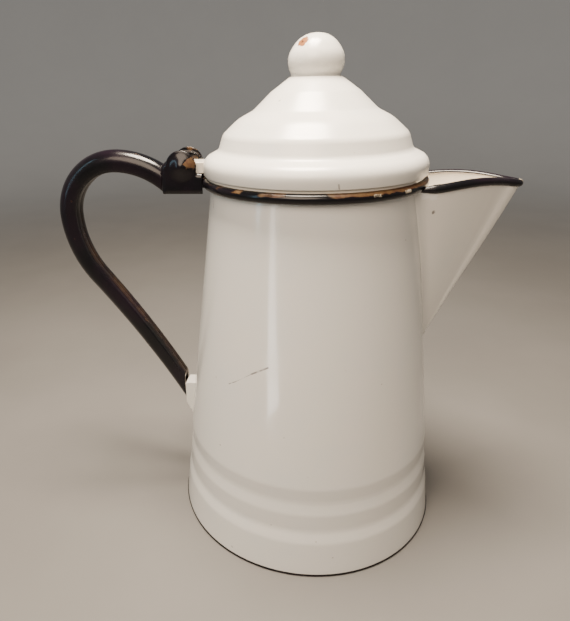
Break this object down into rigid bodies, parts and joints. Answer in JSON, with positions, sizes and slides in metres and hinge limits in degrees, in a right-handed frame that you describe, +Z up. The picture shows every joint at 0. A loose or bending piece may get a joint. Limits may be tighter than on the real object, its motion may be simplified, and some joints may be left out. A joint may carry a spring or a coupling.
{
  "type": "enamel coffee pot",
  "caption": "Tapered enamelled steel coffee pot with a triangular beak spout, a hollow looped handle and a stepped domed lid with a knob, hinged above the handle.",
  "frame": {"origin": "centre of the foot ring, on the surface the pot stands on", "axes": "+Z up, +X towards the spout, -X towards the handle, hinge axis along Y"},
  "size_m": [0.217, 0.1368, 0.2342],
  "materials": {
    "white_enamel": "glossy vitreous enamel with fine wear",
    "cream_enamel": "glossy cream vitreous enamel, chipped to brown at its edges",
    "black_enamel": "glossy black vitreous enamel",
    "black_trim": "black vitreous enamel on rolled edges, worn to brown on top",
    "bare_steel": "bare mild steel, darkened"
  },
  "bodies": {
    "pot": {"base_plate": "black_trim", "body_shell": "white_enamel", "handle_lug": "white_enamel", "handle_tube": "black_enamel", "hinge_bracket": "black_enamel", "hinge_pin": "black_enamel", "rim_bead": "black_trim", "rim_wire": "bare_steel", "spout_bead": "black_trim", "spout_shell": "white_enamel"},
    "lid": {"lid_shell": "white_enamel", "lid_skirt": "cream_enamel", "lid_tab": "cream_enamel", "knob_cap": "white_enamel", "knob_base": "white_enamel", "knob_rivet": "bare_steel"}
  },
  "joints": [
    {"name": "lid_hinge", "type": "hinge", "parent": "pot", "child": "lid", "pos_m": [-0.06, 0, 0.1794], "axis": [0, -1, 0], "range_deg": [0, 105]}
  ]
}
